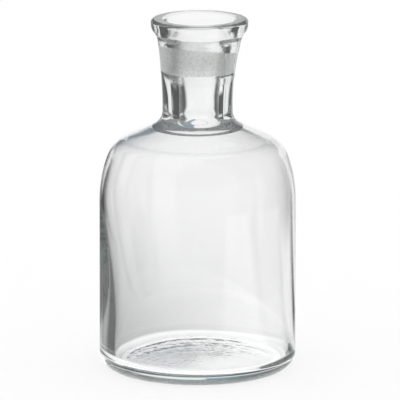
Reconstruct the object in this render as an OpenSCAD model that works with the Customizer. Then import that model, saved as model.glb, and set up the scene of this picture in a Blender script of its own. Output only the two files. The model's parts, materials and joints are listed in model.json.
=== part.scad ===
// Narrow-neck reagent bottle: one piece of clear glass, blown in a round mould, with a flared
// flat-topped lip and a ground conical socket in the neck for a glass stopper.
// Millimetres, +Z up. The origin is the centre of the ring that the bottle rests on.

/* [Body] */
// Outside diameter of the straight side
body_d = 70; // [60:1:90]
// Height at which the side starts to lean in towards the shoulder
body_h = 61; // [40:1:110]
// Thickness of the glass in the side and the shoulder
wall = 2.6; // [1.5:0.1:4]

/* [Base] */
// Radius of the rounded heel under the side
heel_r = 6; // [3:0.5:9]
// Height of the inside floor above the resting plane
floor_h = 4.4; // [3:0.1:9]
// Radius of the corner between the floor and the inside wall
floor_corner_r = 2.8; // [1:0.1:6]
// Width of the flat ring that the bottle rests on
rest_ring_w = 2.5; // [1.5:0.1:8]
// Rise of the underside from the resting ring to its centre
push_up = 1.2; // [0.4:0.1:2.2]

/* [Shoulder] */
// Radius of the large curve by which the side leans in
lean_r = 45; // [30:1:80]
// Angle in degrees that the large curve turns through
lean_angle = 20; // [10:1:30]
// Radius of the tighter curve that turns the side into the shoulder
shoulder_r = 12.4; // [6:0.2:18]
// Slope of the shoulder in degrees where it runs up to the neck
shoulder_slope = 24.7; // [12:0.1:40]
// Outside radius of the hollow curve between shoulder and neck
root_r = 5.6; // [2:0.1:8]
// Inside radius of the curve between shoulder and neck
inner_root_r = 5; // [3:0.1:11]

/* [Neck] */
// Outside diameter of the neck at its narrowest, just above the shoulder
neck_d = 25; // [23.6:0.1:30]
// Length of the neck from its narrowest place to the top of the lip
neck_h = 33.2; // [28:0.2:60]
// How much wider the neck is on each side where it reaches the lip
neck_flare = 2.1; // [0.8:0.1:4]
// Diameter of the clear bore through the neck
bore_d = 14; // [8:0.1:16.8]

/* [Ground socket] */
// Diameter of the ground socket at its wide upper end
socket_d = 18.8; // [18.2:0.1:21]
// Length of the ground surface along the neck
socket_h = 9.5; // [6:0.1:14]
// Taper of the socket, as the length over which its diameter shrinks by one
socket_taper = 10; // [6:1:20]
// Depth of the socket's upper end below the top of the lip
socket_depth = 9.5; // [7:0.1:13]
// Height of the sloping ledge between the socket and the bore
ledge_h = 3; // [0.8:0.1:5]

/* [Lip] */
// How far the lip stands out past the neck under it
lip_overhang = 2.7; // [1:0.1:5]
// Diameter of the mouth where it opens in the flat top of the lip
mouth_d = 25.2; // [22:0.1:27.6]
// Radius of the rounded outer edge between the flat top and the rim
lip_edge_r = 1.2; // [0.4:0.1:2.2]
// Height of the upright rim at the widest place of the lip
lip_rim_h = 0.6; // [0.2:0.1:2]
// Radius of the rounded edge between the flat top and the mouth
mouth_edge_r = 0.9; // [0.4:0.1:1.8]
// Radius of the full curve under the lip
lip_under_r = 5.2; // [3.4:0.1:7]
// Radius of the hollow curve between the lip and the neck
lip_fillet_r = 7.9; // [4:0.1:10]

/* [Hidden] */

// Curves are drawn in steps no longer than this many degrees
arc_step = 5;
$fn = 96;

body_r = body_d / 2;
inner_r = body_r - wall;
neck_r = neck_d / 2;
bore_r = bore_d / 2;
mouth_r = mouth_d / 2;

// Socket: a cone that shrinks downwards
socket_top_r = socket_d / 2;
socket_bottom_r = socket_top_r - socket_h / socket_taper / 2;

// Shoulder: the large curve starts on the side, and the tight one is tangent to its end
lean_x = body_r - lean_r;
shoulder_x = lean_x + (lean_r - shoulder_r) * cos(lean_angle);
shoulder_z = body_h + (lean_r - shoulder_r) * sin(lean_angle);
shoulder_end = 90 - shoulder_slope;

// Height of the centre of a curve of radius r that is tangent to a vertical line at x = x_in and
// to the straight slope that leaves a shoulder curve of radius r_shoulder
function root_z(x_in, r, r_shoulder) =
    shoulder_z + r_shoulder * sin(shoulder_end)
    + (shoulder_x + r_shoulder * cos(shoulder_end) - x_in - r * (1 - sin(shoulder_slope)))
    * tan(shoulder_slope)
    + r * cos(shoulder_slope);

outer_root_z = root_z(neck_r, root_r, shoulder_r);
inner_root_z = root_z(bore_r, inner_root_r, shoulder_r - wall);

// Heights counted down from the top of the lip
top_z = outer_root_z + neck_h;
lip_edge_z = top_z - lip_edge_r;
lip_z = lip_edge_z - lip_rim_h;
socket_top_z = top_z - socket_depth;
socket_bottom_z = socket_top_z - socket_h;
bore_top_z = socket_bottom_z - ledge_h;

// Lip: a full curve under the widest place, then a hollow one that is tangent to it
lip_r = neck_r + neck_flare + lip_overhang;
lip_turn = acos(1 - lip_overhang / (lip_under_r + lip_fillet_r));
fillet_x = neck_r + neck_flare + lip_fillet_r;
fillet_z = lip_z - (lip_under_r + lip_fillet_r) * sin(lip_turn);

// Neck: one long hollow curve, upright at the root of the neck and tangent to the lip's fillet
neck_rise = fillet_z - outer_root_z;
neck_curve_r = (pow(neck_flare, 2) + 2 * neck_flare * lip_fillet_r + pow(neck_rise, 2))
    / (2 * neck_flare);
neck_curve_x = neck_r + neck_curve_r;
neck_turn = atan2(neck_rise, neck_curve_x - fillet_x);

// Funnel between the mouth and the socket: two equal curves, upright at both ends
funnel_w = mouth_r - socket_top_r;
funnel_h = socket_depth - mouth_edge_r;
funnel_turn = 2 * atan(funnel_w / funnel_h);
funnel_r = funnel_h / (2 * sin(funnel_turn));

// Underside: a shallow dome inside the resting ring
rest_outer_r = body_r - heel_r;
rest_inner_r = rest_outer_r - rest_ring_w;
dome_r = (pow(rest_inner_r, 2) + pow(push_up, 2)) / (2 * push_up);
dome_turn = asin(rest_inner_r / dome_r);

// Points along an arc about [x, z], from angle a to angle b in degrees
function arc(x, z, r, a, b) =
    let (steps = max(4, ceil(abs(b - a) / arc_step)))
    [for (i = [0:steps]) let (t = a + (b - a) * i / steps) [x + r * cos(t), z + r * sin(t)]];

// Outside of the glass, from the centre of the underside up to the flat top of the lip
outside = concat(
    arc(0, push_up - dome_r, dome_r, 90, 90 - dome_turn),
    arc(rest_outer_r, heel_r, heel_r, -90, 0),
    arc(lean_x, body_h, lean_r, 0, lean_angle),
    arc(shoulder_x, shoulder_z, shoulder_r, lean_angle, shoulder_end),
    arc(neck_r + root_r, outer_root_z, root_r, 180 + shoulder_end, 180),
    arc(neck_curve_x, outer_root_z, neck_curve_r, 180, 180 - neck_turn),
    arc(fillet_x, fillet_z, lip_fillet_r, 180 - neck_turn, 180 - lip_turn),
    arc(lip_r - lip_under_r, lip_z, lip_under_r, -lip_turn, 0),
    arc(lip_r - lip_edge_r, lip_edge_z, lip_edge_r, 0, 90)
);

// Inside of the glass, from the mouth down to the centre of the floor
inside = concat(
    arc(mouth_r + mouth_edge_r, top_z - mouth_edge_r, mouth_edge_r, 90, 180),
    arc(mouth_r - funnel_r, socket_top_z + funnel_h, funnel_r, 0, -funnel_turn),
    arc(socket_top_r + funnel_r, socket_top_z, funnel_r, 180 - funnel_turn, 180),
    [[socket_bottom_r, socket_bottom_z], [bore_r, bore_top_z]],
    arc(bore_r + inner_root_r, inner_root_z, inner_root_r, 180, 180 + shoulder_end),
    arc(shoulder_x, shoulder_z, shoulder_r - wall, shoulder_end, lean_angle),
    arc(lean_x, body_h, lean_r - wall, lean_angle, 0),
    arc(inner_r - floor_corner_r, floor_h + floor_corner_r, floor_corner_r, 0, -90),
    [[0, floor_h]]
);

module bottle() {
    color("azure", 0.35)
        rotate_extrude()
            polygon(concat(outside, inside));
}

bottle();
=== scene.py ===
"""Narrow-neck reagent bottle in clear blown glass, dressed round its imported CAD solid.

The section through the glass is drawn from arcs and straight lines and revolved. The inner surface is then
made as uneven as blowing leaves it, and the neck gets its ground socket. Clear glass shows little but its
surroundings, so the studio also holds a room of bright backdrops that only the glass picks up.
"""

import json
import logging
import math
from dataclasses import dataclass, field
from enum import Enum

import bmesh
import bpy
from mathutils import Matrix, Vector, noise


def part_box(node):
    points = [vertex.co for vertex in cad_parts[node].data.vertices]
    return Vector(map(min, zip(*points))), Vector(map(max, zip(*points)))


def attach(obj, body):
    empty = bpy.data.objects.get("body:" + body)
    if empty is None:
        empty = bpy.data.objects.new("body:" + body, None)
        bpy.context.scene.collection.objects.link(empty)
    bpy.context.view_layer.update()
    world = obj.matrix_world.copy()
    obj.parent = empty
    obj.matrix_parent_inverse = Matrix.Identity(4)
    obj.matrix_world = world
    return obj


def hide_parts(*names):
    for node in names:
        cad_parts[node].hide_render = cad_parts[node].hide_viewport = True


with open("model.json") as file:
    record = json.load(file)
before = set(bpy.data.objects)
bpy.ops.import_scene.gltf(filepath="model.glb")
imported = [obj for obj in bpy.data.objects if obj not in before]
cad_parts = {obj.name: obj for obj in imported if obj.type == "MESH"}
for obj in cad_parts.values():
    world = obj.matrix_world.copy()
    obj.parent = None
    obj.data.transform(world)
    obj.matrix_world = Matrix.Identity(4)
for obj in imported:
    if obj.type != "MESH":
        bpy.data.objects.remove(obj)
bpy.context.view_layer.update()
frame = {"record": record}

LOG = logging.getLogger("reagent_bottle")
MM = 0.001

Point = tuple[float, float]
Colour = tuple[float, float, float, float]
Tree = bpy.types.NodeTree
Socket = bpy.types.NodeSocket

WHITE: Colour = (1.0, 1.0, 1.0, 1.0)
# A place or a direction times this has no height
FLAT = (1.0, 1.0, 0.0)
# Counts of bounces are whole numbers, so they are tested against values between those
UNDER_ONE = 0.5
OVER_ONE = 1.5


class Zone(Enum):
    """The stretches of the glass surface, some of which are shaped in their own way."""

    OUTSIDE = 0
    LIP = 1
    SOCKET = 2
    INSIDE = 3
    FLOOR = 4
    UNDERSIDE = 5


@dataclass(frozen=True)
class Span:
    """A gradual change, given by the value where it is still 0 and the value where it has become 1."""

    zero: float
    one: float

    def smooth(self, x: float) -> float:
        """Gives the change at x, eased in and out."""
        t = min(1.0, max(0.0, (x - self.zero) / (self.one - self.zero)))
        return t * t * (3 - 2 * t)

    def ends(self) -> dict[str, float]:
        """Gives both ends as the inputs of a Map Range node."""
        return {"From Min": self.zero, "From Max": self.one}


def elevations(zero: float, one: float) -> Span:
    """Turns two angles above the horizon, in degrees, into the heights of directions with a length of 1."""
    return Span(math.sin(math.radians(zero)), math.sin(math.radians(one)))


def linear(hex_colour: str) -> Colour:
    """Turns an sRGB hex colour into linear RGBA.

    Args:
        hex_colour: Six hex digits, such as "F4F6F5".

    Returns:
        Linear red, green, blue and an alpha of 1.
    """
    values = [int(hex_colour[i:i + 2], 16) / 255 for i in (0, 2, 4)]
    red, green, blue = (v / 12.92 if v <= 0.04045 else ((v + 0.055) / 1.055) ** 2.4 for v in values)
    return red, green, blue, 1.0


def add_node(tree: Tree, kind: str, inputs: dict | None = None, **settings) -> bpy.types.Node:
    """Adds one node with its settings, values and links.

    Args:
        tree: The node tree that gets the node.
        kind: The node's type, such as "ShaderNodeMath".
        inputs: For each input's name or number, a value or the output socket that feeds it.
        **settings: Attributes of the node itself, such as operation.

    Returns:
        The new node.
    """
    made = tree.nodes.new(kind)
    for name, value in settings.items():
        setattr(made, name, value)
    for key, value in (inputs or {}).items():
        if isinstance(value, Socket):
            tree.links.new(value, made.inputs[key])
        else:
            made.inputs[key].default_value = value
    return made


def new_material(name: str) -> tuple[bpy.types.Material, Tree]:
    """Adds a material that has no nodes yet.

    Args:
        name: What the real material is.

    Returns:
        The material and its empty node tree.
    """
    material = bpy.data.materials.new(name)
    material.use_nodes = True
    material.node_tree.nodes.clear()
    return material, material.node_tree


def add_object(name: str, mesh: bmesh.types.BMesh, finishes: list[bpy.types.Material]) -> bpy.types.Object:
    """Turns a bmesh into an object of the scene.

    Args:
        name: The name of the object and its mesh.
        mesh: The bmesh, which is freed.
        finishes: Its materials, in the order that its faces count them.

    Returns:
        The new object.
    """
    data = bpy.data.meshes.new(name)
    mesh.to_mesh(data)
    mesh.free()
    made = bpy.data.objects.new(name, data)
    bpy.context.scene.collection.objects.link(made)
    for finish in finishes:
        data.materials.append(finish)
    return made


@dataclass(frozen=True)
class Arc:
    """A stretch of the section: part of a circle in the plane of radius and height, in millimetres.

    Attributes:
        x: Radius at which the circle's centre lies.
        z: Height at which it lies.
        r: The circle's own radius.
        start: Angle in degrees where the stretch begins.
        end: Angle in degrees where it ends.
        longest_turn: The most degrees between two points.
        fewest: The fewest parts that the stretch is drawn with.
    """

    x: float
    z: float
    r: float
    start: float
    end: float
    longest_turn: float = 4.5
    fewest: int = 5

    def points(self, step: float) -> list[Point]:
        """Lists points along the arc.

        Args:
            step: The longest distance between two points, in millimetres.

        Returns:
            Radius and height of each point, both ends included.
        """
        turn = math.radians(self.end - self.start)
        by_turn = math.ceil(abs(turn) / math.radians(self.longest_turn))
        count = max(self.fewest, by_turn, math.ceil(abs(turn) * self.r / step))
        angles = [math.radians(self.start) + turn * i / count for i in range(count + 1)]
        return [(self.x + self.r * math.cos(a), self.z + self.r * math.sin(a)) for a in angles]


@dataclass
class GlassProfile:
    """The section through the glass, in millimetres, with the sizes of the construction."""

    # From the frame: outside radius of the side, height of the lip's flat top, radius of the clear bore
    body_r: float
    top_z: float
    bore_r: float
    # Side: where it starts to lean in, and the thickness of the glass
    body_h: float = 61.0
    wall: float = 2.6
    # Base: heel, inside floor and its corner, the ring that it rests on and the rise of the underside
    heel_r: float = 6.0
    floor_h: float = 4.4
    floor_corner_r: float = 2.8
    rest_ring_w: float = 2.5
    push_up: float = 1.2
    # Shoulder: a large curve that leans in, a tighter one, a straight slope and the root of the neck
    lean_r: float = 45.0
    lean_angle: float = 20.0
    shoulder_r: float = 12.4
    shoulder_slope: float = 24.7
    root_r: float = 5.6
    inner_root_r: float = 5.0
    # Neck: its radius where it is narrowest, and how much wider it is on each side under the lip
    neck_r: float = 12.5
    neck_flare: float = 2.1
    # Ground socket: a cone whose diameter shrinks by one over socket_taper of length, and the ledge under it
    socket_r: float = 9.4
    socket_h: float = 9.5
    socket_taper: float = 10.0
    socket_depth: float = 9.5
    ledge_h: float = 3.0
    # Ledge and bore are melted into one curve, which starts a little under and inside the cone's end
    ledge_drop: float = 0.3
    ledge_inset: float = 0.15
    bore_parts: int = 16
    bore_power: int = 3
    # Lip: overhang, mouth, and the radii of its edges, its full under-curve and the hollow under that
    lip_overhang: float = 2.7
    mouth_r: float = 12.6
    lip_edge_r: float = 1.2
    lip_rim_h: float = 0.6
    mouth_edge_r: float = 0.9
    lip_under_r: float = 5.2
    lip_fillet_r: float = 7.9
    # Longest distance between two points, in general and where the surface bends light more sharply
    step: float = 1.6
    floor_step: float = 0.62
    lip_step: float = 0.8
    edge_step: float = 0.4
    funnel_step: float = 0.6
    socket_step: float = 0.5
    inner_root_step: float = 0.8
    inner_slope_step: float = 0.3
    corner_step: float = 0.6

    def __post_init__(self) -> None:
        """Works out the places that follow from the sizes."""
        self.inner_r = self.body_r - self.wall
        self.shoulder_end = 90 - self.shoulder_slope
        lean = math.radians(self.lean_angle)
        self.lean_x = self.body_r - self.lean_r
        self.shoulder_x = self.lean_x + (self.lean_r - self.shoulder_r) * math.cos(lean)
        self.shoulder_z = self.body_h + (self.lean_r - self.shoulder_r) * math.sin(lean)
        self.root_z = self.root_height(self.neck_r, self.root_r, self.shoulder_r)
        self.inner_root_z = self.root_height(self.bore_r, self.inner_root_r, self.shoulder_r - self.wall)
        self.socket_top_z = self.top_z - self.socket_depth
        self.socket_bottom_z = self.socket_top_z - self.socket_h
        self.socket_bottom_r = self.socket_r - self.socket_h / self.socket_taper / 2
        self.bore_top_z = self.socket_bottom_z - self.ledge_h

    def root_height(self, x_in: float, r: float, shoulder_r: float) -> float:
        """Finds the centre height of a curve that joins the shoulder's slope to an upright line.

        Args:
            x_in: Radius of the upright line.
            r: Radius of the joining curve.
            shoulder_r: Radius of the shoulder curve that the slope leaves.

        Returns:
            The height of the joining curve's centre.
        """
        slope, end = math.radians(self.shoulder_slope), math.radians(self.shoulder_end)
        run = self.shoulder_x + shoulder_r * math.cos(end) - x_in - r * (1 - math.sin(slope))
        return self.shoulder_z + shoulder_r * math.sin(end) + run * math.tan(slope) + r * math.cos(slope)

    def line(self, a: Point, b: Point, step: float) -> list[Point]:
        """Lists points on the straight stretch from a to b, both included, no further apart than step."""
        parts = max(1, math.ceil(math.dist(a, b) / step))
        return [
            (a[0] + (b[0] - a[0]) * i / parts, a[1] + (b[1] - a[1]) * i / parts) for i in range(parts + 1)]

    def underside(self) -> list[Point]:
        """Draws the shallow dome under the base.

        Returns:
            Its points, from the centre out to the resting ring.
        """
        edge = self.body_r - self.heel_r - self.rest_ring_w
        dome_r = (edge ** 2 + self.push_up ** 2) / (2 * self.push_up)
        dome = Arc(0, self.push_up - dome_r, dome_r, 90, 90 - math.degrees(math.asin(edge / dome_r)))
        return dome.points(self.floor_step)

    def outside(self) -> list[Point]:
        """Draws the outer surface.

        Returns:
            Its points, from the resting ring up to the hollow under the lip.
        """
        shoulder_end = self.shoulder_end
        heel = Arc(self.body_r - self.heel_r, self.heel_r, self.heel_r, -90, 0).points(self.step)
        side = self.line((self.body_r, self.heel_r), (self.body_r, self.body_h), self.step)
        lean = Arc(self.lean_x, self.body_h, self.lean_r, 0, self.lean_angle).points(self.step)
        shoulder = Arc(self.shoulder_x, self.shoulder_z, self.shoulder_r, self.lean_angle, shoulder_end)
        root = Arc(self.neck_r + self.root_r, self.root_z, self.root_r, 180 + shoulder_end, 180)
        turned, rooted = shoulder.points(self.step), root.points(self.step)
        slope = self.line(turned[-1], rooted[0], self.step)
        return heel + side + lean + turned + slope + rooted + self.neck()

    def neck(self) -> list[Point]:
        """Lists the neck's long hollow curve, tangent to the hollow under the lip."""
        r = self.neck_curve_r()
        return Arc(self.neck_r + r, self.root_z, r, 180, 180 - self.neck_turn()).points(self.step)

    def neck_curve_r(self) -> float:
        """Gives the radius of the neck's curve, which is upright at the root of the neck."""
        flare, rise = self.neck_flare, self.fillet_centre()[1] - self.root_z
        return (flare ** 2 + 2 * flare * self.lip_fillet_r + rise ** 2) / (2 * flare)

    def neck_turn(self) -> float:
        """Gives the angle in degrees that the neck's curve turns through on its way up."""
        x, z = self.fillet_centre()
        return math.degrees(math.atan2(z - self.root_z, self.neck_r + self.neck_curve_r() - x))

    def lip_turn(self) -> float:
        """Gives the angle in degrees between upright and the steepest place under the lip."""
        return math.degrees(math.acos(1 - self.lip_overhang / (self.lip_under_r + self.lip_fillet_r)))

    def fillet_centre(self) -> Point:
        """Gives the centre of the hollow curve between the lip and the neck."""
        drop = (self.lip_under_r + self.lip_fillet_r) * math.sin(math.radians(self.lip_turn()))
        return self.neck_r + self.neck_flare + self.lip_fillet_r, self.lip_z() - drop

    def lip_z(self) -> float:
        """Gives the height of the lower end of the lip's upright rim."""
        return self.top_z - self.lip_edge_r - self.lip_rim_h

    def lip(self) -> list[Point]:
        """Draws the lip.

        Returns:
            Its points, from the hollow under it, over the flat top, to the rounded edge of the mouth.
        """
        x, z = self.fillet_centre()
        widest = self.neck_r + self.neck_flare + self.lip_overhang
        turn, edge_r, mouth_edge_r = self.lip_turn(), self.lip_edge_r, self.mouth_edge_r
        fillet = Arc(x, z, self.lip_fillet_r, 180 - self.neck_turn(), 180 - turn)
        under = Arc(widest - self.lip_under_r, self.lip_z(), self.lip_under_r, -turn, 0)
        edge = Arc(widest - edge_r, self.top_z - edge_r, edge_r, 0, 90)
        mouth = Arc(self.mouth_r + mouth_edge_r, self.top_z - mouth_edge_r, mouth_edge_r, 90, 180)
        curves = fillet.points(self.lip_step) + under.points(self.lip_step)
        return curves + edge.points(self.edge_step) + mouth.points(self.edge_step)

    def funnel(self) -> list[Point]:
        """Draws the funnel between the mouth and the ground socket, as two equal curves.

        Returns:
            Its points, from the mouth down.
        """
        width, height = self.mouth_r - self.socket_r, self.socket_depth - self.mouth_edge_r
        turn = 2 * math.atan(width / height)
        r, turn = height / (2 * math.sin(turn)), math.degrees(turn)
        upper = Arc(self.mouth_r - r, self.socket_top_z + height, r, 0, -turn)
        lower = Arc(self.socket_r + r, self.socket_top_z, r, 180 - turn, 180)
        return upper.points(self.funnel_step) + lower.points(self.funnel_step)

    def socket(self) -> list[Point]:
        """Lists the ground cone from its wide upper end down."""
        top, bottom = (self.socket_r, self.socket_top_z), (self.socket_bottom_r, self.socket_bottom_z)
        return self.line(top, bottom, self.socket_step)

    def inside(self) -> list[Point]:
        """Draws the bore, the inner shoulder and the inner side.

        Returns:
            Their points, from the socket's lower end down to the floor's corner.
        """
        top, low = self.socket_bottom_z - self.ledge_drop, self.inner_root_z
        wide = self.socket_bottom_r - self.ledge_inset - self.bore_r
        parts, shoulder_end = self.bore_parts, self.shoulder_end
        bore = [
            (self.bore_r + wide * (i / parts) ** self.bore_power, low + (top - low) * i / parts)
            for i in range(parts, -1, -1)]
        root = Arc(self.bore_r + self.inner_root_r, low, self.inner_root_r, 180, 180 + shoulder_end)
        shoulder_r = self.shoulder_r - self.wall
        shoulder = Arc(self.shoulder_x, self.shoulder_z, shoulder_r, shoulder_end, self.lean_angle)
        rooted, turned = root.points(self.inner_root_step), shoulder.points(self.step)
        slope = self.line(rooted[-1], turned[0], self.inner_slope_step)
        lean = Arc(self.lean_x, self.body_h, self.lean_r - self.wall, self.lean_angle, 0).points(self.step)
        corner_r, corner_z = self.floor_corner_r, self.floor_h + self.floor_corner_r
        side = self.line((self.inner_r, self.body_h), (self.inner_r, corner_z), self.step)
        corner = Arc(self.inner_r - corner_r, corner_z, corner_r, 0, -90).points(self.corner_step)
        return bore + rooted + slope + turned + lean + side + corner

    def floor(self) -> list[Point]:
        """Lists the inside floor from its corner in to the axis."""
        corner = (self.inner_r - self.floor_corner_r, self.floor_h)
        return self.line(corner, (0, self.floor_h), self.floor_step)

    def stretches(self) -> list[tuple[Zone, list[Point]]]:
        """Lists the whole section.

        Returns:
            Each stretch with its zone, from the centre of the underside round to the centre of the floor.
        """
        return [
            (Zone.UNDERSIDE, self.underside()),
            (Zone.OUTSIDE, self.outside()),
            (Zone.LIP, self.lip() + self.funnel()),
            (Zone.SOCKET, self.socket()),
            (Zone.INSIDE, self.inside()),
            (Zone.FLOOR, self.floor()),
        ]


@dataclass(frozen=True)
class ClearGlass:
    """Soda-lime glass, blown in a mould and fire-polished.

    It is colourless and glossy and bends light strongly, so the eye finds it by the dark and bright lines at
    its edges, and iron in the sand turns it faintly green where it is thick. The mould's rough bottom plate
    leaves a grain in the base. It is about 0.2 mm wide, which is too fine to show, so it is drawn coarser.

    Attributes:
        name: The material's name.
        tint: Colour of the surface.
        ior: Index of refraction of soda-lime glass.
        depth_colour: Colour that the light takes on inside the glass.
        depth_density: How fast it takes it on, per metre.
        grain: Width of the grain in the base, in metres.
        grain_depth: Height of the grain, in metres.
        grain_strength: How much of that height the light feels.
        grain_radii: Radii over which the grain sets in, in metres.
        grain_heights: Heights over which it sets in, in metres.
    """

    name: str = "soda_lime_glass"
    tint: str = "FFFFFF"
    ior: float = 1.52
    depth_colour: str = "B9D6D2"
    depth_density: float = 4.5
    grain: float = 0.7 * MM
    grain_depth: float = 0.05 * MM
    grain_strength: float = 0.45
    grain_radii: Span = Span(28.5 * MM, 27.5 * MM)
    grain_heights: Span = Span(5.4 * MM, 5.0 * MM)

    def make(self) -> bpy.types.Material:
        """Builds the material.

        Returns:
            A smooth dielectric with a faint colour in its depth.
        """
        material, tree = new_material(self.name)
        surface = add_node(tree, "ShaderNodeBsdfPrincipled", {
            "Base Color": linear(self.tint), "Roughness": 0.0, "IOR": self.ior, "Transmission Weight": 1.0,
            "Normal": self.mould_grain(tree)})
        depth = add_node(tree, "ShaderNodeVolumeAbsorption", {
            "Color": linear(self.depth_colour), "Density": self.depth_density})
        add_node(tree, "ShaderNodeOutputMaterial", {
            "Surface": surface.outputs[0], "Volume": depth.outputs[0]})
        return material

    def mould_grain(self, tree: Tree) -> Socket:
        """Draws the fine grain that the rough mould leaves in the base, and nothing above it.

        Args:
            tree: The material's node tree.

        Returns:
            The direction that the surface faces, disturbed by the grain.
        """
        where = add_node(tree, "ShaderNodeTexCoord").outputs["Object"]
        height = add_node(tree, "ShaderNodeSeparateXYZ", {0: where}).outputs["Z"]
        flat = add_node(tree, "ShaderNodeVectorMath", {0: where, 1: FLAT}, operation="MULTIPLY")
        reach = add_node(tree, "ShaderNodeVectorMath", {0: flat.outputs[0]}, operation="LENGTH")
        inner = add_node(tree, "ShaderNodeMapRange", {
            "Value": reach.outputs["Value"], **self.grain_radii.ends()})
        base = add_node(tree, "ShaderNodeMapRange", {
            "Value": height, **self.grain_heights.ends(), "To Max": inner.outputs[0]})
        strength = add_node(tree, "ShaderNodeMath", {
            0: base.outputs[0], 1: self.grain_strength}, operation="MULTIPLY")
        grain = add_node(tree, "ShaderNodeTexNoise", {
            "Vector": where, "Scale": 1 / self.grain, "Detail": 2.0})
        return add_node(tree, "ShaderNodeBump", {
            "Strength": strength.outputs[0], "Distance": self.grain_depth,
            "Height": grain.outputs["Fac"]}).outputs[0]


@dataclass(frozen=True)
class GroundGlass:
    """The same glass, cut with wet grit on a turning cone.

    The cut leaves a matt, pale grey skin that lets light through but no image, with a clean upper edge and
    chips along the lower one. The pits are about 0.1 mm wide, which is too fine to show, so they are drawn
    coarser.

    Attributes:
        name: The material's name.
        clear_tint: Colour of the glass beside the cut.
        ground_tint: Colour of the cut.
        pit_shade_tint: Painted shade in the cut's deeper pits: the cut's colour where the bump sinks lowest.
        pits: Levels of the noise over which the painted pit shade gives way to the plain cut.
        ior: Index of refraction of soda-lime glass.
        roughness: Roughness of the cut.
        skin: Share of the light that the cut holds back.
        grit: Width of the pits, in metres.
        pit_depth: Depth of the pits, in metres.
        pit_strength: How much of that depth the light feels.
        top_z: Height of the upper edge on the axis, in metres.
        top_lean: How the upper edge tilts, as rise per metre along X and Y.
        bottom_z: Height of the lower edge, in metres.
        ragged: How far the chips reach past the lower edge, in metres.
        chip: Width of the chips, in metres.
        edge: Distances over which the cut sets in at both edges, in metres.
    """

    name: str = "grit_ground_glass"
    clear_tint: str = "FFFFFF"
    ground_tint: str = "FAFAF8"
    pit_shade_tint: str = "D8D9D7"
    pits: Span = Span(0.35, 0.65)
    ior: float = 1.52
    roughness: float = 0.42
    skin: float = 0.25
    grit: float = 0.8 * MM
    pit_depth: float = 0.15 * MM
    pit_strength: float = 0.35
    top_z: float = 116.2 * MM
    top_lean: tuple[float, float, float] = (-0.11, -0.08, 0.0)
    bottom_z: float = 107.3 * MM
    ragged: float = 0.45 * MM
    chip: float = MM / 0.9
    edge: Span = Span(-0.05 * MM, 0.12 * MM)

    def make(self) -> bpy.types.Material:
        """Builds the material.

        Returns:
            Clear glass with a band of ground glass across it.
        """
        material, tree = new_material(self.name)
        where = add_node(tree, "ShaderNodeTexCoord").outputs["Object"]
        mask = self.mask(tree, where)
        grain = add_node(tree, "ShaderNodeTexNoise", {
            "Vector": where, "Scale": 1 / self.grit, "Detail": 3.0}).outputs["Fac"]
        # Painted shade in the pits: the same noise that sinks the bump also darkens the colour where it is
        # lowest
        speckle = add_node(tree, "ShaderNodeMapRange", {"Value": grain, **self.pits.ends()})
        cut = add_node(tree, "ShaderNodeMix", {
            "Factor": speckle.outputs[0], "A": linear(self.pit_shade_tint), "B": linear(self.ground_tint)},
            data_type="RGBA")
        colour = add_node(tree, "ShaderNodeMix", {
            "Factor": mask, "A": linear(self.clear_tint), "B": cut.outputs["Result"]}, data_type="RGBA")
        rough = add_node(tree, "ShaderNodeMath", {0: mask, 1: self.roughness}, operation="MULTIPLY")
        passed = add_node(tree, "ShaderNodeMath", {
            0: mask, 1: -self.skin, 2: 1.0}, operation="MULTIPLY_ADD")
        bump = add_node(tree, "ShaderNodeBump", {
            "Strength": self.pit_strength, "Distance": self.pit_depth, "Height": grain})
        surface = add_node(tree, "ShaderNodeBsdfPrincipled", {
            "Base Color": colour.outputs["Result"], "Roughness": rough.outputs[0], "IOR": self.ior,
            "Transmission Weight": passed.outputs[0], "Normal": bump.outputs[0]})
        add_node(tree, "ShaderNodeOutputMaterial", {"Surface": surface.outputs[0]})
        return material

    def mask(self, tree: Tree, where: Socket) -> Socket:
        """Draws where the grit has cut: a band with a leaning upper edge and a ragged lower one.

        Args:
            tree: The material's node tree.
            where: The object coordinates.

        Returns:
            A value that is 1 on the ground band and 0 off it.
        """
        height = add_node(tree, "ShaderNodeSeparateXYZ", {0: where}).outputs["Z"]
        lean = add_node(tree, "ShaderNodeVectorMath", {0: where, 1: self.top_lean}, operation="DOT_PRODUCT")
        top = add_node(tree, "ShaderNodeMath", {0: lean.outputs["Value"], 1: self.top_z}, operation="ADD")
        under_top = add_node(tree, "ShaderNodeMath", {0: top.outputs[0], 1: height}, operation="SUBTRACT")
        chips = add_node(tree, "ShaderNodeTexNoise", {
            "Vector": where, "Scale": 1 / self.chip, "Detail": 4.0})
        bottom = add_node(tree, "ShaderNodeMath", {
            0: chips.outputs["Fac"], 1: 2 * self.ragged, 2: self.bottom_z - self.ragged},
            operation="MULTIPLY_ADD")
        over_bottom = add_node(tree, "ShaderNodeMath", {
            0: height, 1: bottom.outputs[0]}, operation="SUBTRACT")
        nearest = add_node(tree, "ShaderNodeMath", {
            0: under_top.outputs[0], 1: over_bottom.outputs[0]}, operation="MINIMUM")
        return add_node(tree, "ShaderNodeMapRange", {
            "Value": nearest.outputs[0], **self.edge.ends()}).outputs[0]


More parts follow.
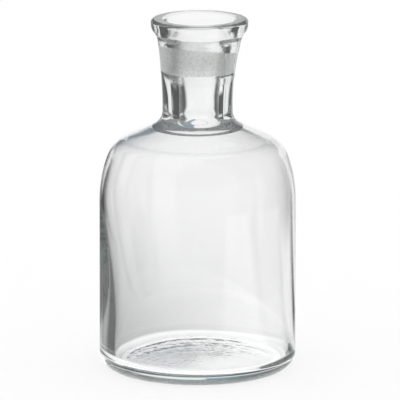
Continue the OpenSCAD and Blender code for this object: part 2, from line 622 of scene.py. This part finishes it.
@dataclass
class Bottle:
    """The one piece of glass: revolved section, uneven blown wall, stippled base and ground socket.

    Sizes are millimetres.
    """

    profile: GlassProfile
    clear: ClearGlass = field(default_factory=ClearGlass)
    ground: GroundGlass = field(default_factory=GroundGlass)
    segments: int = 200
    # Points of the section that are nearer than this are one, and so are vertices after the spin
    same_point: float = 0.02
    same_vertex: float = 0.005
    # The lip leans to the right, more and more over these heights
    lip_lean: float = 0.7
    lean_heights: Span = Span(102.0, 122.0)
    # The right wall is thin, and the left one gets thinner from the base up
    right_wall: float = 1.2
    left_wall: float = 1.5
    left_extra: float = 3.1
    left_heights: Span = Span(14.0, 62.0)
    # Over body_heights that gives way to a bore off the middle, which is true again past bore_heights
    body_heights: Span = Span(78.0, 92.0)
    bore_shift: float = 0.3
    bore_heights: Span = Span(104.0, 107.0)
    # The inner shoulder moves up by this share of what the wall is thinner there
    shoulder_share: float = 0.7
    shoulder_heights: Span = Span(66.0, 78.0)
    # The inner surface sinks in a ring round the root of the neck
    ring_drop: float = 0.5
    ring_radii: Span = Span(13.6, 15.4)
    ring_starts: Span = Span(78.0, 82.0)
    ring_ends: Span = Span(92.0, 98.0)
    # Dimples of the base: their heights, how many fit in a metre, and how they gather in patches
    stipple_fine: float = 0.16
    stipple_broad: float = 0.02
    fine_rate: float = 650.0
    finer_rate: float = 1300.0
    finer_share: float = 0.6
    broad_rate: float = 90.0
    patch_rate: float = 60.0
    patches: Span = Span(-0.05, 0.3)
    # The underside's dimples are those of a place this many metres away, and stay inside the resting ring
    under_shift: float = 0.3
    under_radii: Span = Span(24.0, 26.0)
    # The ground finish goes on faces inside this radius, up to so far over the socket and under the ledge
    ground_r: float = 11.2
    ground_over: float = 3.2
    ground_under: float = 0.6

    def build(self) -> bpy.types.Object:
        """Revolves the section, shapes the glass and dresses it.

        Returns:
            The bottle, in place of its plain solid and riding on the root body.
        """
        mesh = bmesh.new()
        zone_of = mesh.verts.layers.int.new("zone")
        self.draw(mesh, zone_of)
        bmesh.ops.spin(
            mesh, geom=mesh.verts[:] + mesh.edges[:], cent=(0, 0, 0), axis=(0, 0, 1),
            angle=2 * math.pi, steps=self.segments, use_merge=True)
        bmesh.ops.remove_doubles(mesh, verts=mesh.verts, dist=self.same_vertex * MM)
        bmesh.ops.recalc_face_normals(mesh, faces=mesh.faces)
        self.shape(mesh, zone_of)
        self.assign(mesh)
        piece = add_object("bottle_glass", mesh, [self.clear.make(), self.ground.make()])
        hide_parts("bottle")
        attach(piece, "root")
        return piece

    def draw(self, mesh: bmesh.types.BMesh, zone_of: bmesh.types.BMLayerItem) -> None:
        """Draws the section as one open chain of edges.

        Args:
            mesh: The empty bmesh that gets it.
            zone_of: The layer that says which zone a vertex is in.
        """
        last = None
        for zone, points in self.profile.stretches():
            for x, z in points:
                place = Vector((max(0.0, x) * MM, 0, z * MM))
                if last is not None and (last.co - place).length < self.same_point * MM:
                    continue
                vert = mesh.verts.new(place)
                vert[zone_of] = zone.value
                if last is not None:
                    mesh.edges.new((last, vert))
                last = vert

    def shape(self, mesh: bmesh.types.BMesh, zone_of: bmesh.types.BMLayerItem) -> None:
        """Moves the inner surface so that the wall is uneven, and stipples the base.

        Args:
            mesh: The revolved glass.
            zone_of: The layer that says which zone a vertex is in.
        """
        for vert in mesh.verts:
            zone, height = Zone(vert[zone_of]), vert.co.z / MM
            vert.co.x += self.lip_lean * self.lean_heights.smooth(height) * MM
            if zone in (Zone.INSIDE, Zone.FLOOR):
                self.blow(vert, height)
            if zone is Zone.FLOOR:
                vert.co.z += self.stipple(vert.co)
            if zone is Zone.UNDERSIDE:
                inner = 1 - self.under_radii.smooth(math.hypot(vert.co.x, vert.co.y) / MM)
                vert.co.z += abs(self.stipple(vert.co + Vector((self.under_shift, 0, 0)))) * inner

    def blow(self, vert: bmesh.types.BMVert, height: float) -> None:
        """Moves one inner point so that the wall is as uneven as blowing left it.

        Args:
            vert: A vertex of the inner surface.
            height: Its height in millimetres.
        """
        body = 1 - self.body_heights.smooth(height)
        left = self.left_wall + self.left_extra * (1 - self.left_heights.smooth(height))
        right = self.right_wall
        thinner = self.profile.wall - (left + right) / 2
        spread = 1 + thinner / self.profile.inner_r * body
        bore = self.bore_shift * (1 - body) * MM * (1 - self.bore_heights.smooth(height))
        vert.co.x = vert.co.x * spread + (left - right) / 2 * body * MM + bore
        vert.co.y *= spread
        vert.co.z += thinner * self.shoulder_share * self.shoulder_heights.smooth(height) * body * MM
        near_neck = 1 - self.ring_radii.smooth(math.hypot(vert.co.x, vert.co.y) / MM)
        over, under = self.ring_starts.smooth(height), 1 - self.ring_ends.smooth(height)
        vert.co.z -= self.ring_drop * near_neck * over * under * MM

    def stipple(self, place: Vector) -> float:
        """Gives the height of the small dimples that a rough iron mould leaves in the base.

        Args:
            place: A point on the base, in metres.

        Returns:
            How far the surface stands up there, in metres.
        """
        patch = self.patches.smooth(noise.noise(place * self.patch_rate))
        fine = noise.noise(place * self.fine_rate) + self.finer_share * noise.noise(place * self.finer_rate)
        broad = noise.noise(place * self.broad_rate)
        return (self.stipple_fine * patch * fine + self.stipple_broad * broad) * MM

    def assign(self, mesh: bmesh.types.BMesh) -> None:
        """Gives the faces round the ground socket the ground finish, and all faces smooth shading.

        Args:
            mesh: The shaped glass.
        """
        low = self.profile.bore_top_z * MM - self.ground_under * MM
        high = (self.profile.socket_top_z + self.ground_over) * MM
        for face in mesh.faces:
            face.smooth = True
            middle = face.calc_center_median()
            near = math.hypot(middle.x, middle.y) < self.ground_r * MM and low < middle.z < high
            faces_in = face.normal.x * middle.x + face.normal.y * middle.y < 0
            face.material_index = int(near and faces_in)


@dataclass(frozen=True)
class Backdrop:
    """A bright stretch of the room: a wedge between two upright edges, which only the glass picks up.

    Attributes:
        azimuth: Direction of its middle in degrees: 0 is behind the bottle and 90 on the left.
        left: Angle in degrees from its middle to its edge at the greater azimuth.
        right: Angle in degrees from its middle to its other edge.
        start: How far out its tip lies, in metres. A negative one lies on the other side of the bottle.
        reach: How far out it ends, in metres.
        straight: Its brightness for light that the glass only bends.
        mirrored: Its brightness for light that the glass also reflects.
    """

    azimuth: float
    left: float
    right: float
    start: float
    reach: float = 1000.0
    straight: float = 1.0
    mirrored: float = 1.0


@dataclass
class Room:
    """The room as the glass picks it up: bright backdrops and the darkness between them.

    In an evenly white room clear glass would hardly be seen. The dark lines in it are bent images of the
    gaps between the backdrops. Lengths are metres from the middle of the set.

    Attributes:
        backdrops: The bright stretches.
        dark: Brightness between them.
        edge_blur: Width of a backdrop's soft edge for each metre of distance.
        end_fade: Width of its soft end for each metre of distance.
        least_blur: Width of both right at the middle.
        deep: Share that is left of what the glass reflects more than once.
        shade_depth: How much of the brightness the soft shadow at the foot of the bottle takes.
        shade_reach: How far the shadow gets before it is down to about a third.
        shade_side: Span along X over which the shadow gets strong, towards the left.
        shade_least: Share of the shadow on the right.
    """

    backdrops: tuple[Backdrop, ...] = (
        Backdrop(azimuth=0, left=16, right=18, start=-0.14),
        Backdrop(azimuth=0, left=17, right=32, start=0.10),
        Backdrop(azimuth=180, left=75, right=75, start=0.05, mirrored=0.5),
        Backdrop(azimuth=270, left=20, right=22, start=0.0, reach=0.46, straight=0.0, mirrored=0.55),
        Backdrop(azimuth=300, left=16, right=16, start=0.0, reach=0.30, straight=0.0),
        Backdrop(azimuth=90, left=22, right=22, start=0.09, reach=0.28, straight=0.0, mirrored=0.6),
        Backdrop(azimuth=57, left=13, right=13, start=0.0, reach=0.6, straight=0.4, mirrored=0.0),
        Backdrop(azimuth=300, left=13, right=13, start=0.0, reach=0.6, straight=0.6, mirrored=0.0),
        Backdrop(azimuth=28, left=13, right=13, start=0.26, straight=0.0),
        Backdrop(azimuth=329, left=11, right=11, start=0.0, straight=0.0),
        Backdrop(azimuth=225, left=12, right=12, start=-0.17, reach=0.5),
        Backdrop(azimuth=225, left=25, right=25, start=0.10, reach=0.5),
        Backdrop(azimuth=90, left=20, right=20, start=0.06, mirrored=0.25),
        Backdrop(azimuth=270, left=20, right=20, start=0.06, mirrored=0.25),
        Backdrop(azimuth=45, left=12, right=12, start=-0.17, reach=0.26, mirrored=0.3),
        Backdrop(azimuth=45, left=25, right=25, start=0.05, reach=0.26, mirrored=0.3),
    )
    dark: float = 0.10
    edge_blur: float = 0.10
    end_fade: float = 0.35
    least_blur: float = 0.008
    deep: float = 0.3
    shade_depth: float = 0.8
    shade_reach: float = 0.10
    shade_side: Span = Span(0.02, -0.05)
    shade_least: float = 0.1

    def brightness(self) -> Tree:
        """Draws the backdrops and the dark rest of the room as one node group.

        Returns:
            A group that turns a place, in metres from the middle of the set, into a brightness.
        """
        group = bpy.data.node_groups.new("room_brightness", "ShaderNodeTree")
        group.interface.new_socket("Place", in_out="INPUT", socket_type="NodeSocketVector")
        group.interface.new_socket("Level", in_out="OUTPUT", socket_type="NodeSocketFloat")
        place = add_node(group, "NodeGroupInput").outputs[0]
        reach = add_node(group, "ShaderNodeVectorMath", {0: place}, operation="LENGTH").outputs["Value"]
        blur, fade = (
            add_node(group, "ShaderNodeMath", {
                0: reach, 1: growth, 2: self.least_blur}, operation="MULTIPLY_ADD").outputs[0]
            for growth in (self.edge_blur, self.end_fade))
        count = self.reflections(group)
        never = add_node(group, "ShaderNodeMath", {0: count, 1: UNDER_ONE}, operation="LESS_THAN")
        often = add_node(group, "ShaderNodeMath", {0: count, 1: OVER_ONE}, operation="GREATER_THAN")
        total = add_node(group, "ShaderNodeValue").outputs[0]
        total.default_value = self.dark
        for card in self.backdrops:
            inside = self.edge(group, reach, fade, card.reach)
            for side, turn in ((1, card.left), (-1, card.right)):
                wedge = self.wedge_edge(group, place, blur, card, side, turn)
                inside = add_node(group, "ShaderNodeMath", {
                    0: inside, 1: wedge}, operation="MINIMUM").outputs[0]
            level = add_node(group, "ShaderNodeMath", {
                0: never.outputs[0], 1: card.straight - card.mirrored, 2: card.mirrored},
                operation="MULTIPLY_ADD").outputs[0]
            lit = add_node(group, "ShaderNodeMath", {0: inside, 1: level}, operation="MULTIPLY")
            total = add_node(group, "ShaderNodeMath", {
                0: total, 1: lit.outputs[0]}, operation="MAXIMUM").outputs[0]
        kept = add_node(group, "ShaderNodeMath", {
            0: often.outputs[0], 1: self.deep - 1, 2: 1.0}, operation="MULTIPLY_ADD")
        total = add_node(group, "ShaderNodeMath", {0: total, 1: kept.outputs[0]}, operation="MULTIPLY")
        shaded = add_node(group, "ShaderNodeMath", {
            0: total.outputs[0], 1: self.shade(group, place, reach)}, operation="MULTIPLY")
        add_node(group, "NodeGroupOutput", {0: shaded.outputs[0]})
        return group

    def shade(self, group: Tree, place: Socket, reach: Socket) -> Socket:
        """Draws the soft shadow at the foot of the bottle, which is stronger on the left.

        Args:
            group: The node group being drawn.
            place: The place that is looked at.
            reach: Its distance from the middle of the set.

        Returns:
            The share of the light that gets there.
        """
        fall = add_node(group, "ShaderNodeMath", {0: reach, 1: -1 / self.shade_reach}, operation="MULTIPLY")
        near = add_node(group, "ShaderNodeMath", {0: fall.outputs[0]}, operation="EXPONENT")
        side = add_node(group, "ShaderNodeSeparateXYZ", {0: place}).outputs["X"]
        away = add_node(group, "ShaderNodeMapRange", {
            "Value": side, **self.shade_side.ends(), "To Min": self.shade_least, "To Max": 1.0})
        depth = add_node(group, "ShaderNodeMath", {
            0: near.outputs[0], 1: away.outputs[0]}, operation="MULTIPLY")
        return add_node(group, "ShaderNodeMath", {
            0: depth.outputs[0], 1: -self.shade_depth, 2: 1.0}, operation="MULTIPLY_ADD").outputs[0]

    def edge(self, group: Tree, value: Socket, blur: Socket, limit: float) -> Socket:
        """Gives 1 where the value is under the limit and 0 past it, with a soft step."""
        room = add_node(group, "ShaderNodeMath", {0: limit, 1: value}, operation="SUBTRACT")
        return add_node(group, "ShaderNodeMath", {
            0: room.outputs[0], 1: blur}, operation="DIVIDE", use_clamp=True).outputs[0]

    def wedge_edge(
            self, group: Tree, place: Socket, blur: Socket, card: Backdrop, side: int, turn: float,
    ) -> Socket:
        """Draws one edge of a backdrop's wedge.

        Args:
            group: The node group being drawn.
            place: The place that is looked at.
            blur: How soft the edge is there.
            card: The backdrop.
            side: 1 for the left edge and -1 for the right one.
            turn: Angle in degrees between the backdrop's middle and this edge.

        Returns:
            A value that is 1 on the inner side of the edge and 0 outside.
        """
        middle, edge = math.radians(card.azimuth), math.radians(card.azimuth + side * turn)
        out = Vector((-math.cos(edge), -math.sin(edge), 0)) * side
        tip = Vector((-math.sin(middle), math.cos(middle), 0)) * card.start
        across = add_node(group, "ShaderNodeVectorMath", {0: place, 1: out}, operation="DOT_PRODUCT")
        return self.edge(group, across.outputs["Value"], blur, tip.dot(out))

    def reflections(self, tree: Tree) -> Socket:
        """Counts how often the glass reflected a ray on its way here."""
        return add_node(tree, "ShaderNodeLightPath").outputs["Glossy Depth"]

    def through_glass(self, tree: Tree) -> Socket:
        """Picks out the rays that see the room.

        Args:
            tree: The node tree that asks.

        Returns:
            A value that is 1 for a ray that comes straight through or off the glass, and 0 for any other.
        """
        path = add_node(tree, "ShaderNodeLightPath").outputs
        glass = add_node(tree, "ShaderNodeMath", {
            0: path["Is Glossy Ray"], 1: path["Is Transmission Ray"]}, operation="MAXIMUM")
        direct = add_node(tree, "ShaderNodeMath", {
            0: path["Diffuse Depth"], 1: UNDER_ONE}, operation="LESS_THAN")
        return add_node(tree, "ShaderNodeMath", {
            0: glass.outputs[0], 1: direct.outputs[0]}, operation="MULTIPLY").outputs[0]

    def level(self, tree: Tree, place: Socket, least: Socket, brightness: Tree) -> Socket:
        """Draws the room for a ray through or off the glass, and white for any other.

        Args:
            tree: The node tree of the world or the floor.
            place: The place that is looked at, in metres.
            least: A brightness that the room has there at least.
            brightness: The node group of the room.

        Returns:
            The brightness there.
        """
        room = add_node(tree, "ShaderNodeGroup", node_tree=brightness)
        tree.links.new(place, room.inputs[0])
        seen = add_node(tree, "ShaderNodeMath", {0: room.outputs[0], 1: least}, operation="MAXIMUM")
        return add_node(tree, "ShaderNodeMix", {
            "Factor": self.through_glass(tree), "A": 1.0, "B": seen.outputs[0]},
            data_type="FLOAT").outputs["Result"]


@dataclass
class Studio:
    """The pale floor, the white surroundings and the camera.

    Lengths are metres, and heights in the surroundings are those of a direction with a length of 1.

    Attributes:
        room: What the glass picks up.
        lens: Focal length in millimetres.
        sensor: Width of the camera's sensor in millimetres.
        distance: From the camera to the place that it looks at.
        elevation: Degrees by which the camera is above that place.
        aim: The place that the camera looks at.
        far: Distance that the world counts as lying at, past which the camera sees nothing.
        bounces: The most bounces of any kind. Light needs many to get out of thick glass.
        overhead: Heights over which the white ceiling sets in for the glass.
        above: Heights over which the room's backdrops give way to it.
        card_drop: Height of the cool card's lower edge, and height where the backdrops beside it end.
        card_side: Span along X over which the card sets in, towards the left.
        card_back: Span along Y over which it sets in, towards the back.
        card_tint: Its colour.
        haze: Brightness that the room has at least above the horizon.
        haze_heights: Heights over which the haze sets in.
        floor_size: Half the length of the floor's side.
        glow: Brightness of the floor under the bottle, as the glass picks it up.
        glow_shift: How far in front of the bottle's axis the glow has its middle.
        glow_radii: Radii over which the glow sets in.
        glow_bounces: Light that the glass reflects more often than this gets no glow.
        lit_white: Whiteness of the lit share of the floor.
        own_light: Brightness of its own share.
        own_share: How large its own share is.
    """

    room: Room = field(default_factory=Room)
    lens: float = 607.0
    sensor: float = 36.0
    distance: float = 2.4
    elevation: float = 12.2
    aim: tuple[float, float, float] = (0.85 * MM, 0.0, 60.6 * MM)
    far: float = 100.0
    bounces: int = 32
    overhead: Span = elevations(14, 18)
    above: Span = elevations(14.5, 17)
    card_drop: Span = elevations(7, 15)
    card_side: Span = Span(-0.045, -0.075)
    card_back: Span = Span(0.72, 0.8)
    card_tint: Colour = (0.84, 0.98, 1.12, 1.0)
    haze: float = 0.3
    haze_heights: Span = elevations(1, 6)
    floor_size: float = 12.0
    glow: float = 1.2
    glow_shift: float = 0.003
    glow_radii: Span = Span(0.053, 0.042)
    glow_bounces: float = 6.5
    lit_white: float = 0.9
    own_light: float = 1.03
    own_share: float = 0.75

    def cool_card(self, tree: Tree, where: Socket) -> Socket:
        """Draws the cool grey card that hangs behind the bottle on the left.

        Args:
            tree: The world's node tree.
            where: The direction that is looked at.

        Returns:
            A value that is 1 towards the card and 0 beside it.
        """
        place = add_node(tree, "ShaderNodeSeparateXYZ", {0: where})
        left = add_node(tree, "ShaderNodeMapRange", {"Value": place.outputs["X"], **self.card_side.ends()})
        back = add_node(tree, "ShaderNodeMapRange", {"Value": place.outputs["Y"], **self.card_back.ends()})
        return add_node(tree, "ShaderNodeMath", {
            0: left.outputs[0], 1: back.outputs[0]}, operation="MULTIPLY").outputs[0]

    def ceiling(self, tree: Tree, height: Socket) -> Socket:
        """Draws the white above the backdrops, which is no more than haze for light that the glass reflects.

        Args:
            tree: The world's node tree.
            height: Height of the direction that is looked at.

        Returns:
            The brightness up there.
        """
        start = add_node(tree, "ShaderNodeMapRange", {"Value": height, **self.overhead.ends()})
        never = add_node(tree, "ShaderNodeMath", {
            0: self.room.reflections(tree), 1: UNDER_ONE}, operation="LESS_THAN")
        white = add_node(tree, "ShaderNodeMath", {
            0: start.outputs[0], 1: never.outputs[0]}, operation="MULTIPLY")
        seen = add_node(tree, "ShaderNodeMath", {0: white.outputs[0], 1: self.haze}, operation="MAXIMUM")
        return add_node(tree, "ShaderNodeMix", {
            "Factor": self.room.through_glass(tree), "A": 1.0, "B": seen.outputs[0]},
            data_type="FLOAT").outputs["Result"]

    def horizon(self, tree: Tree, where: Socket, height: Socket, brightness: Tree) -> Socket:
        """Draws the backdrops round the set, with a haze over the horizon.

        Args:
            tree: The world's node tree.
            where: The direction that is looked at.
            height: Its height.
            brightness: The node group of the room.

        Returns:
            The brightness down there.
        """
        haze = add_node(tree, "ShaderNodeMapRange", {
            "Value": height, **self.haze_heights.ends(), "To Max": self.haze})
        flat = add_node(tree, "ShaderNodeVectorMath", {0: where, 1: FLAT}, operation="MULTIPLY")
        unit = add_node(tree, "ShaderNodeVectorMath", {0: flat.outputs[0]}, operation="NORMALIZE")
        place = add_node(tree, "ShaderNodeVectorMath", {
            0: unit.outputs[0], "Scale": self.far}, operation="SCALE")
        return self.room.level(tree, place.outputs[0], haze.outputs[0], brightness)

    def world(self, brightness: Tree) -> None:
        """Makes the white surroundings, in which only the glass picks up the room.

        Args:
            brightness: The node group of the room.
        """
        world = bpy.data.worlds.new("white_room")
        bpy.context.scene.world = world
        world.use_nodes = True
        tree = world.node_tree
        tree.nodes.clear()
        where = add_node(tree, "ShaderNodeTexCoord").outputs["Generated"]
        height = add_node(tree, "ShaderNodeSeparateXYZ", {0: where}).outputs["Z"]
        card = self.cool_card(tree, where)
        lifted = add_node(tree, "ShaderNodeMath", {
            0: card, 1: self.card_drop.one - self.card_drop.zero, 2: height}, operation="MULTIPLY_ADD")
        above = add_node(tree, "ShaderNodeMapRange", {
            "Value": lifted.outputs[0], **self.above.ends()}).outputs[0]
        strength = add_node(tree, "ShaderNodeMix", {
            "Factor": above, "A": self.horizon(tree, where, height, brightness),
            "B": self.ceiling(tree, height)}, data_type="FLOAT")
        over_card = add_node(tree, "ShaderNodeMath", {0: card, 1: above}, operation="MULTIPLY")
        cool = add_node(tree, "ShaderNodeMath", {
            0: over_card.outputs[0], 1: self.room.through_glass(tree)}, operation="MULTIPLY")
        tint = add_node(tree, "ShaderNodeMix", {
            "Factor": cool.outputs[0], "A": WHITE, "B": self.card_tint}, data_type="RGBA")
        light = add_node(tree, "ShaderNodeBackground", {
            "Color": tint.outputs["Result"], "Strength": strength.outputs["Result"]})
        add_node(tree, "ShaderNodeOutputWorld", {"Surface": light.outputs[0]})

    def floor(self, brightness: Tree) -> None:
        """Makes the pale floor, which keeps a faint shadow of the bottle.

        Args:
            brightness: The node group of the room.
        """
        mesh = bmesh.new()
        bmesh.ops.create_grid(mesh, x_segments=1, y_segments=1, size=self.floor_size)
        floor = add_object("floor", mesh, [self.floor_finish(brightness)])

    def floor_finish(self, brightness: Tree) -> bpy.types.Material:
        """Makes the floor's sheet of white acrylic, which is lit from above and from below.

        The light from above gives it the bottle's shadow. The light from below makes it as white as the
        background, so that the eye finds no edge between them.

        Args:
            brightness: The node group of the room.

        Returns:
            The material.
        """
        material, tree = new_material("white_acrylic_sheet")
        where = add_node(tree, "ShaderNodeTexCoord").outputs["Object"]
        place = add_node(tree, "ShaderNodeVectorMath", {
            0: where, 1: (0.0, self.glow_shift, 0.0)}, operation="ADD")
        reach = add_node(tree, "ShaderNodeVectorMath", {0: place.outputs[0]}, operation="LENGTH")
        near = add_node(tree, "ShaderNodeMapRange", {
            "Value": reach.outputs["Value"], **self.glow_radii.ends()})
        few = add_node(tree, "ShaderNodeMath", {
            0: self.room.reflections(tree), 1: self.glow_bounces}, operation="LESS_THAN")
        under = add_node(tree, "ShaderNodeMath", {
            0: near.outputs[0], 1: few.outputs[0]}, operation="MULTIPLY")
        glow = add_node(tree, "ShaderNodeMath", {0: under.outputs[0], 1: self.glow}, operation="MULTIPLY")
        level = self.room.level(tree, where, glow.outputs[0], brightness)
        white = add_node(tree, "ShaderNodeMath", {
            0: level, 1: self.lit_white}, operation="MULTIPLY", use_clamp=True)
        strength = add_node(tree, "ShaderNodeMath", {0: level, 1: self.own_light}, operation="MULTIPLY")
        lit = add_node(tree, "ShaderNodeBsdfDiffuse", {"Color": white.outputs[0]})
        own = add_node(tree, "ShaderNodeEmission", {"Color": WHITE, "Strength": strength.outputs[0]})
        mixed = add_node(tree, "ShaderNodeMixShader", {
            0: self.own_share, 1: lit.outputs[0], 2: own.outputs[0]})
        add_node(tree, "ShaderNodeOutputMaterial", {"Surface": mixed.outputs[0]})
        return material

    def camera(self) -> None:
        """Places the long-lens camera in front of the bottle and a little above it."""
        data = bpy.data.cameras.new("camera")
        data.lens = self.lens
        data.sensor_width = self.sensor
        data.clip_end = self.far
        camera = bpy.data.objects.new("camera", data)
        bpy.context.scene.collection.objects.link(camera)
        tilt = math.radians(self.elevation)
        back = Vector((0, -math.cos(tilt), math.sin(tilt)))
        camera.location = Vector(self.aim) + back * self.distance
        camera.rotation_euler = back.to_track_quat("Z", "Y").to_euler()
        bpy.context.scene.camera = camera

    def build(self) -> None:
        """Sets up the camera, the surroundings, the floor and the renderer's limits."""
        self.camera()
        brightness = self.room.brightness()
        self.world(brightness)
        self.floor(brightness)
        scene = bpy.context.scene
        scene.view_settings.view_transform = "Standard"
        for limit in ("max_bounces", "glossy_bounces", "transmission_bounces"):
            setattr(scene.cycles, limit, self.bounces)


def main() -> None:
    logging.basicConfig(level=logging.INFO, format="%(name)s %(message)s")
    low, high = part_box("bottle")
    bore = next(m for m in frame["record"]["mounts"] if m["name"] == "neck_bore")
    body_r = (high[0] - low[0]) / 2 / MM
    profile = GlassProfile(body_r=body_r, top_z=high[2] / MM, bore_r=bore["dims"]["r_mm"])
    Studio().build()
    piece = Bottle(profile).build()
    LOG.info("%s: %d faces", piece.name, len(piece.data.polygons))


if __name__ == "__main__":
    main()
